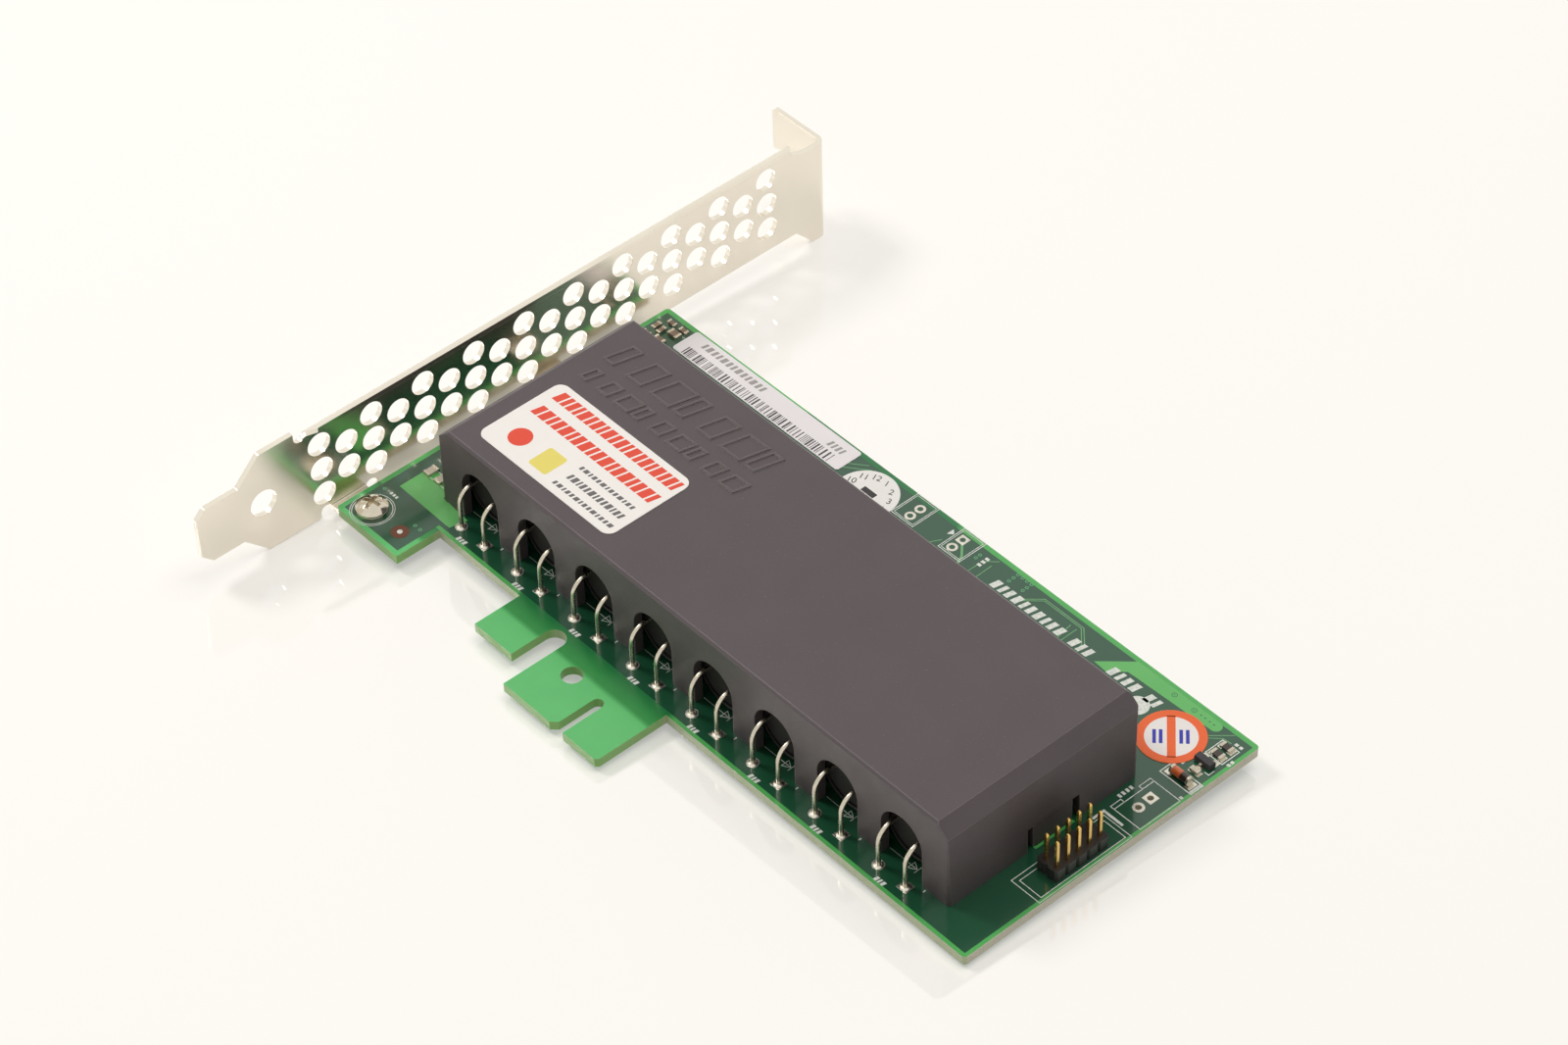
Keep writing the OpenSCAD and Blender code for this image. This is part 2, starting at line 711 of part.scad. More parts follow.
module ring_sticker()
    color([0.95, 0.45, 0.25]) place() round_sticker(ring_sticker_place);

board();
bracket();
bracket_screws();
capacitor_cover();
for (i = [1:cap_count]) {
    capacitor(i);
    capacitor_seal(i);
    capacitor_leads(i);
}
lead_solder();
header_base();
header_pins();
header_solder();
corner_resistors();
transistor_body();
transistor_legs();
diode_body();
diode_caps();
ceramic_chip();
bracket_side_chips();
ear_chips();
cover_label();
long_label();
month_sticker();
ring_sticker();
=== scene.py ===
"""Looks for the backup power card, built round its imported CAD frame.

Places on the card are in millimetres in the card's own frame: x from the inner face of the bracket's
panel, y from the tip of the bracket's tongue, z from the board's top face. spot() turns them into the
frame's metres.
"""

import math
import random

import bpy
from mathutils import Matrix, Vector


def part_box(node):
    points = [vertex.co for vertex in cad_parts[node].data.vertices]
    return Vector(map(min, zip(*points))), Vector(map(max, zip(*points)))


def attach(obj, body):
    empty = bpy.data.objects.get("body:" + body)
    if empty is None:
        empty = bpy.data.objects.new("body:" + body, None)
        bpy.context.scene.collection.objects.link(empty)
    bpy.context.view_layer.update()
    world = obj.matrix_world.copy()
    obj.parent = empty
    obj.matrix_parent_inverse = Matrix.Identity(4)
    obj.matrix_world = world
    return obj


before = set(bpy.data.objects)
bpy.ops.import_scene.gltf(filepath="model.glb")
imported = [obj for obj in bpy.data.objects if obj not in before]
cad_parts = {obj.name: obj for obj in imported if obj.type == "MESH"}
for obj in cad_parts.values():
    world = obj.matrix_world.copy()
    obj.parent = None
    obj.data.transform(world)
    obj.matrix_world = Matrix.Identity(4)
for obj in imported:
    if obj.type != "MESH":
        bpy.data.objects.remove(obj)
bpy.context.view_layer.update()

MM = 0.001
BRACKET_LOW, BRACKET_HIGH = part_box("bracket")
FLANGE_DEPTH = 11.43
ORIGIN = Vector((BRACKET_LOW.x + FLANGE_DEPTH * MM, BRACKET_LOW.y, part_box("board")[1].z))
CAPS = range(1, 9)


def spot(x, y, z=0.0):
    """A place on the card, in the frame's metres."""
    return ORIGIN + Vector((x, y, z)) * MM


def card_box(node):
    """Lowest and highest corner of a CAD node, in the card's millimetres."""
    return [(corner - ORIGIN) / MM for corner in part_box(node)]


BOARD_LOW, BOARD_HIGH = card_box("board")
BODY_LOW = 30.1         # lower edge of the board's main body, over the tabs
THICK = BOARD_HIGH.z - BOARD_LOW.z

# Layers on the board's top face: the level at which each starts, and its thickness
MASK = 0.02
LANES = (MASK, 0.008)
TRACKS = (0.024, 0.006)
PADS = (0.025, 0.03)
PRINT = (0.028, 0.015)
MARKS = (0.03, 0.01)
INK = 0.01              # thickness of the print on a sticker
PLATING = 0.012         # how far a chip's plated ends stand out

# The photograph's camera, solved from the card's known points
CAMERA_TURN = (49.4007, 44.1439, -1.7014)       # azimuth, elevation and roll, in degrees
CAMERA_LENS, CAMERA_SENSOR = 106.922, 36
CAMERA_AIM = (48.807, 67.417)                   # the place on the board that it turns round
CAMERA_AWAY = 0.670                             # metres from that place


# ---- Materials ----

def srgb(red, green, blue):
    """A colour from 0-255 display values to the linear values that the shaders take."""
    def linear(value):
        value /= 255
        return value / 12.92 if value <= 0.04045 else ((value + 0.055) / 1.055) ** 2.4
    return (linear(red), linear(green), linear(blue), 1.0)


class Look:
    """One node material, whose nodes read the place in the row frame."""

    def __init__(self, name):
        self.material = bpy.data.materials.new(name)
        self.material.use_nodes = True
        self.tree = self.material.node_tree
        self.tree.nodes.clear()
        self.out = self.add("OutputMaterial")
        self.place = self.add("TexCoord").outputs["Object"]

    def add(self, kind, settings=None, **sockets):
        node = self.tree.nodes.new("ShaderNode" + kind)
        for key, value in (settings or {}).items():
            setattr(node, key, value)
        for key, value in sockets.items():
            self.set(node.inputs[key.replace("_", " ")], value)
        return node

    def set(self, socket, value):
        if isinstance(value, bpy.types.NodeSocket):
            self.tree.links.new(value, socket)
        else:
            socket.default_value = value

    def noise(self, size, detail=2.0, roughness=0.5, stretch=None):
        """Cloudy noise from 0 to 1, with features of about this size in millimetres."""
        place = self.place
        if stretch:
            place = self.add("Mapping", Vector=place, Scale=stretch).outputs["Vector"]
        return self.add("TexNoise", Vector=place, Scale=1 / (size * MM), Detail=detail,
                        Roughness=roughness).outputs["Fac"]

    def ramp(self, value, low, high, to_low=0.0, to_high=1.0, smooth=False):
        """Brings value from low..high to to_low..to_high, and holds it there."""
        settings = {"clamp": True, "interpolation_type": "SMOOTHSTEP" if smooth else "LINEAR"}
        node = self.add("MapRange", settings, Value=value)
        for key, number in (("From Min", low), ("From Max", high), ("To Min", to_low), ("To Max", to_high)):
            node.inputs[key].default_value = number
        return node.outputs["Result"]

    def math(self, kind, first, second=0.0):
        node = self.add("Math", {"operation": kind})
        self.set(node.inputs[0], first)
        self.set(node.inputs[1], second)
        return node.outputs[0]

    def mix(self, share, first, second):
        """Colour first where share is 0, second where it is 1."""
        node = self.add("Mix", {"data_type": "RGBA"})
        self.set(node.inputs[0], share)
        self.set(node.inputs[6], first)
        self.set(node.inputs[7], second)
        return node.outputs[2]

    def along(self, axis):
        """The place along one axis, in the card's millimetres."""
        value = self.add("SeparateXYZ", Vector=self.place).outputs["XYZ".index(axis)]
        value = self.math("SUBTRACT", value, ORIGIN["XYZ".index(axis)])
        return self.math("MULTIPLY", value, 1 / MM)

    def facing(self, axis="Z"):
        """How far a face points along an axis, from 0 to 1."""
        normal = self.add("NewGeometry").outputs["True Normal"]
        value = self.add("SeparateXYZ", Vector=normal).outputs["XYZ".index(axis)]
        return self.math("ABSOLUTE", value)

    def worn_edge(self, radius):
        """1 on sharp edges, falling to 0 this many millimetres in: the mask for paler edges, partly rubbed
        wear and partly a painted highlight.
        """
        soft = self.add("Bevel", {"samples": 4}, Radius=radius * MM).outputs["Normal"]
        hard = self.add("NewGeometry").outputs["Normal"]
        node = self.add("VectorMath", {"operation": "DOT_PRODUCT"})
        self.set(node.inputs[0], soft)
        self.set(node.inputs[1], hard)
        return self.ramp(node.outputs["Value"], 1.0, 0.75)

    def round_edges(self, radius):
        return self.add("Bevel", {"samples": 4}, Radius=radius * MM).outputs["Normal"]

    def bump(self, height, depth, normal=None, strength=1.0):
        """Relief of this depth in millimetres."""
        node = self.add("Bump", Strength=strength, Distance=depth * MM, Height=height)
        if normal:
            self.set(node.inputs["Normal"], normal)
        return node.outputs["Normal"]

    def surface(self, color, roughness, **sockets):
        """Closes the material with one Principled shader."""
        shader = self.add("BsdfPrincipled", Base_Color=color, Roughness=roughness, **sockets)
        self.tree.links.new(shader.outputs["BSDF"], self.out.inputs["Surface"])
        return self.material


def laminate():
    """Green mask over bare laminate: clear green tabs, and pale cut edges with glass-fibre flecks."""
    look = Look("board_laminate")
    y = look.along("Y")
    clouds = look.noise(6, 3)
    tab = look.mix(clouds, srgb(88, 190, 108), srgb(102, 202, 118))
    root = look.mix(clouds, srgb(38, 138, 62), srgb(50, 154, 72))
    border = look.mix(clouds, srgb(74, 172, 84), srgb(92, 186, 98))
    x = look.along("X")
    deep = look.mix(clouds, srgb(22, 112, 58), srgb(30, 124, 64))
    on_tabs = look.math("MULTIPLY", look.ramp(x, 33.6, 34.2), look.ramp(x, 67.6, 66.2))
    face = look.mix(look.ramp(y, 26.2, 27.4, smooth=True), tab, root)
    face = look.mix(look.ramp(y, 27.6, 31, smooth=True), face, deep)
    main = look.math("MULTIPLY", look.ramp(y, 30.0, 30.2), look.math("SUBTRACT", 1.0, on_tabs))
    face = look.mix(main, face, border)
    fleck = look.ramp(look.noise(0.35, 4, 0.7, (1, 1, 3)), 0.52, 0.66)
    tab_edge = look.mix(clouds, srgb(128, 196, 90), srgb(156, 206, 112))
    cut = look.mix(fleck, srgb(222, 216, 194), srgb(186, 178, 148))
    edge = look.mix(look.ramp(y, 28.5, 31), tab_edge, cut)
    color = look.mix(look.ramp(look.facing(), 0.4, 0.7), edge, face)
    relief = look.bump(look.noise(0.5, 3), 0.01)
    return look.surface(color, 0.28, Normal=relief, Subsurface_Weight=0.25, Subsurface_Scale=0.8 * MM,
                        Subsurface_Radius=(0.5, 1.0, 0.5), Coat_Weight=0.3, Coat_Roughness=0.12)


def mask_on_copper():
    """Dark green mask over the copper planes, glossy, with the faint weave of the glass cloth."""
    look = Look("mask_on_copper")
    clouds = look.noise(9, 3)
    weave = look.noise(0.9, 2, 0.4)
    color = look.mix(clouds, srgb(24, 74, 50), srgb(34, 88, 60))
    relief = look.bump(weave, 0.006)
    return look.surface(color, look.ramp(look.noise(3, 3), 0.3, 0.7, 0.16, 0.24), Normal=relief,
                        Coat_Weight=0.6, Coat_Roughness=0.06)


def bare_lane():
    """Bright green mask where both copper planes are left out."""
    look = Look("mask_on_laminate")
    color = look.mix(look.noise(5, 3), srgb(92, 182, 96), srgb(112, 196, 108))
    return look.surface(color, 0.24, Normal=look.bump(look.noise(0.7, 2), 0.006),
                        Coat_Weight=0.3, Coat_Roughness=0.1)


def trace_green(name, low, high):
    """A copper track or via under the mask."""
    look = Look(name)
    return look.surface(look.mix(look.noise(2, 2), srgb(*low), srgb(*high)), 0.24,
                        Normal=look.bump(look.noise(0.4, 2), 0.006), Coat_Weight=0.3, Coat_Roughness=0.1)


def silkscreen():
    """White board print, a little uneven where the ink is thin."""
    look = Look("silkscreen")
    thin = look.ramp(look.noise(0.4, 3, 0.7), 0.35, 0.62)
    color = look.mix(thin, srgb(206, 214, 204), srgb(244, 244, 238))
    return look.surface(color, 0.5, Normal=look.bump(look.noise(0.25, 2), 0.01))


def metal(name, low, high, roughness, size=1.2, relief=0.004, edge=0.05):
    """Plated or drawn metal: slow changes of tone, and fine marks in its gloss."""
    look = Look(name)
    color = look.mix(look.noise(size, 3), srgb(*low), srgb(*high))
    gloss = look.ramp(look.noise(size * 0.5, 4, 0.6), 0.3, 0.7, roughness * 0.75, roughness * 1.25)
    normal = look.bump(look.noise(size * 0.3, 3), relief, look.round_edges(edge))
    return look.surface(color, gloss, Metallic=1.0, Normal=normal)


def nickel():
    """The bracket's bright plated sheet: mirror-like, with faint rolling marks along it."""
    look = Look("bracket_steel")
    color = look.mix(look.noise(14, 3), srgb(228, 220, 206), srgb(242, 235, 222))
    marks = look.noise(0.25, 3, 0.6, (1, 0.04, 1))
    gloss = look.ramp(look.noise(7, 4, 0.6), 0.3, 0.7, 0.17, 0.25)
    normal = look.bump(marks, 0.0016, look.round_edges(0.09))
    return look.surface(color, gloss, Metallic=1.0, Normal=normal)


def plastic(name, low, high, roughness, grain, depth, edge, speck_wear_and_highlight):
    """Moulded plastic with a fine grain, rounded edges, and paler edges that are partly rubbed wear and
    partly a painted highlight.
    """
    look = Look(name)
    tone = look.mix(look.noise(grain * 60, 3), srgb(*low), srgb(*high))
    speck = look.ramp(look.noise(grain * 1.6, 2, 0.7), 0.68, 0.78)
    color = look.mix(look.math("MULTIPLY", speck, 0.5), tone, srgb(*speck_wear_and_highlight))
    # sharp edges are lightened toward the pale colour: partly rubbed wear, partly a painted highlight of
    # light catching the edges
    color = look.mix(look.math("MULTIPLY", look.worn_edge(edge), 0.8), color, srgb(*speck_wear_and_highlight))
    gloss = look.ramp(look.noise(grain * 25, 4, 0.6), 0.3, 0.7, roughness - 0.05, roughness + 0.05)
    normal = look.bump(look.noise(grain, 2, 0.6), depth, look.round_edges(edge))
    return look.surface(color, gloss, Normal=normal)


def paper(name, low, high, roughness=0.42):
    """A coated paper sticker."""
    look = Look(name)
    color = look.mix(look.noise(3, 4), srgb(*low), srgb(*high))
    return look.surface(color, roughness, Normal=look.bump(look.noise(0.3, 3), 0.004))


def ink(name, color, spread=8, roughness=0.4):
    """Printed colour, slightly mottled."""
    look = Look(name)
    low = tuple(max(0, c - spread) for c in color)
    return look.surface(look.mix(look.noise(0.35, 3), srgb(*low), srgb(*color)), roughness,
                        Normal=look.bump(look.noise(0.3, 2), 0.003))


def diode_glass():
    """Orange glass with the dark cathode band towards the board's end."""
    look = Look("diode_glass")
    x = look.along("X")
    middle = sum(card_box("diode_body")[i].x for i in (0, 1)) / 2
    clear = look.mix(look.noise(0.5, 3), srgb(196, 74, 24), srgb(232, 118, 50))
    dark = look.mix(look.noise(0.4, 3), srgb(28, 18, 14), srgb(58, 34, 22))
    color = look.mix(look.ramp(x, middle + 0.1, middle + 0.25), clear, dark)
    return look.surface(color, 0.08, Coat_Weight=0.6, Coat_Roughness=0.03,
                        Normal=look.bump(look.noise(0.6, 2), 0.01))


def floor_look():
    """A pale glossy table, which keeps the object's shadow and mirrors it faintly."""
    look = Look("table")
    tone = look.mix(look.noise(160, 2), srgb(208, 205, 200), srgb(211, 208, 203))
    shader = look.add("BsdfPrincipled", Base_Color=tone, Roughness=0.05, IOR=1.85)
    path = look.add("LightPath")
    seen = look.math("MAXIMUM", path.outputs["Is Camera Ray"], path.outputs["Is Glossy Ray"])
    seen = look.math("MAXIMUM", seen, path.outputs["Is Transmission Ray"])
    glow = look.add("Emission", Color=(1.0, 0.985, 0.955, 1.0), Strength=look.math("MULTIPLY", seen, 0.38))
    both = look.add("AddShader")
    look.tree.links.new(shader.outputs[0], both.inputs[0])
    look.tree.links.new(glow.outputs[0], both.inputs[1])
    look.tree.links.new(both.outputs[0], look.out.inputs["Surface"])
    return look.material


# ---- Pieces ----

def finish_piece(name, mesh, look):
    """Puts a mesh in the scene as a piece of the object."""
    obj = bpy.data.objects.new(name, mesh)
    bpy.context.scene.collection.objects.link(obj)
    mesh.materials.clear()
    mesh.materials.append(look)
    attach(obj, "root")
    return obj


class Flat:
    """Flat shapes of one finish at one level: their tops, and walls down to what carries them."""

    def __init__(self, level, thick=0.02):
        self.level, self.thick = level, thick
        self.points, self.faces = [], []

    def ring_of(self, outline):
        first = len(self.points)
        self.points += [spot(x, y, self.level + self.thick) for x, y in outline]
        return first

    def walls(self, outline, first):
        count = len(outline)
        low = len(self.points)
        self.points += [spot(x, y, self.level) for x, y in outline]
        for i in range(count):
            j = (i + 1) % count
            self.faces.append((first + i, low + i, low + j, first + j))

    def polygon(self, outline):
        area = sum(a[0] * b[1] - b[0] * a[1] for a, b in zip(outline, outline[1:] + outline[:1]))
        outline = list(outline) if area > 0 else list(reversed(outline))
        first = self.ring_of(outline)
        self.faces.append(tuple(range(first, first + len(outline))))
        self.walls(outline, first)
        return self

    def box(self, x0, y0, x1, y1):
        return self.polygon([(x0, y0), (x1, y0), (x1, y1), (x0, y1)])

    def disc(self, x, y, radius, count=32):
        return self.polygon(circle(x, y, radius, count))

    def band(self, outer, inner):
        """The area between two outlines with as many points."""
        a, b = self.ring_of(outer), self.ring_of(inner)
        for i in range(len(outer)):
            j = (i + 1) % len(outer)
            self.faces.append((a + i, a + j, b + j, b + i))
        self.walls(outer, a)
        self.walls(inner, b)
        return self

    def ring(self, x, y, outer, inner, count=40):
        return self.band(circle(x, y, outer, count), circle(x, y, inner, count))

    def square_pad(self, x, y, side, hole, count=32):
        outer = []
        for px, py in circle(x, y, 1, count):
            reach = max(abs(px - x), abs(py - y))
            outer.append((x + (px - x) / reach * side / 2, y + (py - y) / reach * side / 2))
        return self.band(outer, circle(x, y, hole, count))

    def stroke(self, path, width, closed=False):
        """A line of this width along a path, mitred at its corners."""
        count = len(path)
        left, right = [], []
        for i, (x, y) in enumerate(path):
            before = path[i - 1] if closed or i else path[i]
            after = path[(i + 1) % count] if closed or i < count - 1 else path[i]
            a = (x - before[0], y - before[1])
            b = (after[0] - x, after[1] - y)
            a = b if math.hypot(*a) == 0 else a
            b = a if math.hypot(*b) == 0 else b
            la, lb = math.hypot(*a), math.hypot(*b)
            na, nb = (-a[1] / la, a[0] / la), (-b[1] / lb, b[0] / lb)
            nx, ny = na[0] + nb[0], na[1] + nb[1]
            size = nx * nx + ny * ny
            scale = width / max(size, 0.3)
            left.append((x + nx * scale, y + ny * scale))
            right.append((x - nx * scale, y - ny * scale))
        if closed:
            return self.band(left, right)
        return self.polygon(left + right[::-1])

    def done(self, name, look, slot):
        mesh = bpy.data.meshes.new(name)
        mesh.from_pydata(self.points, [], self.faces)
        mesh.update()
        return finish_piece(name, mesh, look)


def circle(x, y, radius, count=32, start=0.0, end=2 * math.pi):
    full = abs(end - start - 2 * math.pi) < 1e-6
    steps = count if full else count - 1
    return [(x + radius * math.cos(start + (end - start) * i / steps),
             y + radius * math.sin(start + (end - start) * i / steps)) for i in range(count)]


def rounded(x0, y0, x1, y1, radius, count=6):
    """A rectangle with round corners."""
    corners = [(x1 - radius, y1 - radius, 0), (x0 + radius, y1 - radius, 90),
               (x0 + radius, y0 + radius, 180), (x1 - radius, y0 + radius, 270)]
    points = []
    for x, y, turn in corners:
        start = math.radians(turn)
        points += circle(x, y, radius, count, start, start + math.pi / 2)
    return points


def sheet_with_holes(name, outline, holes, level, thick, look):
    """A thin sheet with holes through it, from a filled plane curve."""
    curve = bpy.data.curves.new(name + "_outline", "CURVE")
    curve.dimensions = "2D"
    curve.fill_mode = "BOTH"
    curve.extrude = thick / 2 * MM
    for loop in [outline] + holes:
        spline = curve.splines.new("POLY")
        spline.points.add(len(loop) - 1)
        for point, (x, y) in zip(spline.points, loop):
            point.co = (*(spot(x, y) - ORIGIN).xy, 0, 1)
        spline.use_cyclic_u = True
    carrier = bpy.data.objects.new(name + "_outline", curve)
    bpy.context.scene.collection.objects.link(carrier)
    bpy.context.view_layer.update()
    shown = carrier.evaluated_get(bpy.context.evaluated_depsgraph_get())
    mesh = bpy.data.meshes.new_from_object(shown)
    mesh.name = name
    mesh.transform(Matrix.Translation(ORIGIN + Vector((0, 0, (level + thick / 2) * MM))))
    bpy.data.objects.remove(carrier)
    bpy.data.curves.remove(curve)
    return finish_piece(name, mesh, look)


def dress(look, *nodes):
    """Gives CAD nodes their finish."""
    for name in nodes:
        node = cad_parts[name]
        node.data.materials.clear()
        node.data.materials.append(look)


# ---- The board ----

def lead_spots():
    """The two leads of each capacitor: (left x, right x, y)."""
    spots = []
    for i in CAPS:
        low, high = card_box(f"capacitor_leads_{i}")
        spots.append((low.x + LEAD_RADIUS, high.x - LEAD_RADIUS, low.y + LEAD_RADIUS))
    return spots


WIRE_PADS = [(BOARD_HIGH.x - 3.5, 68.0), (BOARD_HIGH.x - 3.4, 65.6)]
LEAD_RADIUS = 0.35
HALF_PIN = 0.25         # half the side of a header pin
SCREW, HIDDEN_SCREW = (6.2, 25.6), (6.2, 63.6)
EAR_END, EAR_LOW = 16.1, 22.2                   # far and lower edge of the board's ear
SNAP_SLOTS = ((11.3, 13.9), (116.1, 118.7))     # the cover's snap slots, from and to along x
SNAP_LOW, SNAP_HIGH = 50.2, 57.6                # and along y


def board_holes(grow):
    """Outlines round the holes that the copper planes keep clear of."""
    holes = [circle(x, y, 0.45 + grow, 24) for x, y in WIRE_PADS]
    holes += [circle(x, y, 1.6 + grow, 24) for x, y in (SCREW, HIDDEN_SCREW)]
    for left, right, y in lead_spots():
        holes += [circle(x, y, 0.5 + grow, 20) for x in (left, right)]
    low, high = card_box("header_pins")
    for i in range(5):
        for x in (low.x + HALF_PIN, high.x - HALF_PIN):
            y = low.y + HALF_PIN + i * (high.y - low.y - 2 * HALF_PIN) / 4
            holes.append(circle(x, y, 0.45 + grow, 16))
    for x0, x1 in SNAP_SLOTS:
        holes.append([(x0, SNAP_LOW), (x1, SNAP_LOW), (x1, SNAP_HIGH), (x0, SNAP_HIGH)])
    return holes


def plane_outline(edge):
    """The copper planes' outline, set in from the board's main body and its ear."""
    x0, x1, y1 = BOARD_LOW.x + edge, BOARD_HIGH.x - edge * 0.75, BOARD_HIGH.y - edge
    low = BODY_LOW + edge * 0.75
    return [(x0, EAR_LOW + edge), (EAR_END - edge, EAR_LOW + edge), (EAR_END - edge, low), (x1, low),
            (x1, y1), (x0, y1)]


def copper_planes(look):
    for name, level in (("top_plane", 0), ("bottom_plane", -THICK - MASK)):
        sheet_with_holes(name, plane_outline(0.85), board_holes(0.15), level, MASK, look)


def bright_lanes(look):
    """Strips of the board without copper, seen as bright green."""
    lanes = Flat(*LANES)
    end = circle(119.3, 83.95, 0.95, 12, math.radians(-80), math.radians(80))
    lanes.polygon([(99.0, 80.5), (101.6, 80.3), (103.7, 82.5), *end, (103.3, 85.0)])
    lanes.polygon([(5.0, 31.6), (16.7, 31.4), (17.4, 34.3), (11.3, 34.7), (11.3, 37.5), (5.0, 37.5)])
    lanes.done("bare_lanes", look, "circuit_board")


def silk_frames(silk):
    """White outlines round the parts on the board."""
    # the header: a double frame, open under its body, and its corner mark
    silk.stroke([(120.5, 43.94), (125.9, 43.94), (125.9, 61.2), (120.5, 61.2)], 0.13, closed=True)
    silk.stroke([(121.25, 44.75), (125.35, 44.75), (125.35, 60.5), (121.25, 60.5)], 0.13, closed=True)
    silk.stroke([(123.6, 61.75), (119.95, 61.75), (119.95, 59.6)], 0.42)
    # the two-wire connector
    silk.stroke([(120.7, 62.96), (125.7, 62.96), (125.7, 70.55), (120.7, 70.55)], 0.15, closed=True)
    for y0, y1 in ((62.96, 64.9), (68.4, 70.55)):
        silk.stroke([(120.7, y0), (120.0, y0), (120.0, y1), (120.7, y1)], 0.13)
    # the two resistors, the transistor and the diode
    silk.stroke([(121.7, 82.85), (124.85, 82.85), (124.85, 79.5), (121.7, 79.5)], 0.15, closed=True)
    silk.stroke([(124.2, 76.75), (125.0, 76.75), (125.0, 77.9)], 0.15)
    silk.stroke([(119.95, 72.45), (125.85, 72.45), (125.85, 74.75), (119.95, 74.75)], 0.2, closed=True)
    silk.stroke([(125.55, 72.6), (125.55, 74.6)], 0.45)
    # the screw, and the designators' neutral blocks
    silk.ring(*SCREW, 3.05, 2.93, 64)
    silk.ring(*SCREW, 3.35, 3.25, 64)
    silk.disc(12.5, 25.7, 0.42)
    for i in range(3):
        silk.box(5.2 + 0.6 * i, 29.55, 5.6 + 0.6 * i, 30.05)
    for y in (36.0, 37.6):
        silk.stroke([(5.0, y), (10.6, y)], 0.12)


def silk_polarity(silk):
    """Between a capacitor's leads: a pointer on a line, and a dash beside the right pad."""
    for left, right, y in lead_spots():
        line = y + 3.2
        silk.stroke([(left - 1.2, line), (right - 1.0, line)], 0.1)
        silk.stroke([(right - 1.0, line - 0.7), (right - 1.0, line + 0.7)], 0.1)
        silk.stroke([(right - 2.3, line - 0.7), (right - 1.1, line), (right - 2.3, line + 0.7)], 0.1,
                    closed=True)
        silk.box(right + 2.2, y + 1.0, right + 2.4, y + 1.5)


def slanted_blocks(silk, start, end, low, high, widths, gap):
    """A strip of slanted blocks, in place of lettering."""
    x, i = start, 0
    lean = (high - low) * 0.22
    while x + widths[i % len(widths)] <= end:
        width = widths[i % len(widths)]
        silk.polygon([(x, low), (x + width, low), (x + width + lean, high), (x + lean, high)])
        x += width + gap
        i += 1


def silk_blocks(silk):
    """Neutral blocks where the board carries print."""
    for start, end in ((78, 92.8), (93.8, 98.9), (101.5, 107.4), (108.6, 110.9)):
        slanted_blocks(silk, start, end, 80.2, 81.9, (1.05, 0.7, 0.9), 0.55)
    for left, right, y in lead_spots():
        slanted_blocks(silk, left + 1.3, left + 3.5, y - 2.25, y - 1.45, (0.5, 0.35), 0.22)
    for y in (65.0, 65.75, 66.5, 67.25):
        silk.box(119.1, y, 119.8, y + 0.45)
    for x, y in ((123.4, 83.3), (124.2, 83.3), (125.3, 79.8), (125.3, 80.5), (120.6, 75.6), (125.1, 70.8)):
        silk.box(x, y, x + 0.55, y + 0.5)
    silk.disc(109.1, 78.9, 1.8)
    for y in (81.7, 82.5, 83.3):
        silk.box(73.9, y, 74.6, y + 0.5)


def top_pads(silk, solder):
    """The two unfilled pad pairs at the far edge, the connector's pads and the leads' square pads."""
    for low, high in ((57.6, 62.1), (67.45, 71.9)):
        silk.stroke([(low, 80.3), (high, 80.3), (high, 85.6), (low, 85.6)], 0.13, closed=True)
        silk.stroke([(low + 0.3, 80.6), (high - 0.3, 80.6), (high - 0.3, 85.3), (low + 0.3, 85.3)], 0.1,
                    closed=True)
    solder.ring(60.2, 83.6, 0.85, 0.45).ring(60.2, 81.6, 0.85, 0.45)
    solder.square_pad(69.0, 83.7, 1.6, 0.45).ring(69.0, 81.6, 0.85, 0.45)
    solder.square_pad(*WIRE_PADS[0], 1.75, 0.46).ring(*WIRE_PADS[1], 0.9, 0.46)
    silk.polygon([(66.5, 82.9), (67.3, 83.6), (66.5, 84.3)])
    solder.box(120.3, 72.8, 121.5, 74.4).box(124.0, 72.8, 125.2, 74.4)
    solder.box(121.7, 78.4, 122.6, 79.4).box(123.6, 78.4, 124.6, 79.4).box(122.6, 76.4, 123.6, 77.2)
    for y in (82.1, 80.3):
        solder.box(121.95, y - 0.62, 122.75, y + 0.62).box(123.75, y - 0.62, 124.55, y + 0.62)
    solder.box(122.3, 75.35, 122.95, 76.35).box(123.65, 75.35, 124.3, 76.35)
    for left, right, y in lead_spots():
        solder.square_pad(right, y, 1.8, 0.5)
        solder.ring(left, y, 0.95, 0.5)


FINE_TRACKS = (
    [(82.7, 80.9), (85.6, 84.0), (93.4, 84.0), (96.0, 81.6), (96.0, 78)],
    [(82.7, 80.5), (85.8, 83.7), (93.2, 83.7), (95.6, 81.4), (95.6, 78)],
    [(119.6, 81.8), (122.3, 84.7)],
    [(112, 80.6), (119.0, 80.6), (121.6, 83.1), (123.0, 83.2)],
    [(92.2, 80.0), (91.7, 83.1)],
    [(92.9, 80.0), (92.9, 83.1)],
    [(65.5, 79.0), (66.9, 81.6)],
    [(75.7, 79.5), (75.6, 83.1)],
    [(74.0, 79.5), (74.1, 82.8), (75.8, 84.5)],
    [(43, 80.2), (48.5, 84.4)],
    [(44.4, 80.2), (49.5, 84)],
)
VIA_PLACES = (
    (79.5, 82.8), (79.5, 83.7), (79.5, 84.6), (80.4, 84.6), (81.3, 84.6), (82.2, 84.6), (82.2, 83.7),
    (82.2, 82.9), (72.9, 82.6), (72.9, 83.4), (13.0, 28.1), (14.2, 28.1), (3.9, 29.7),
)


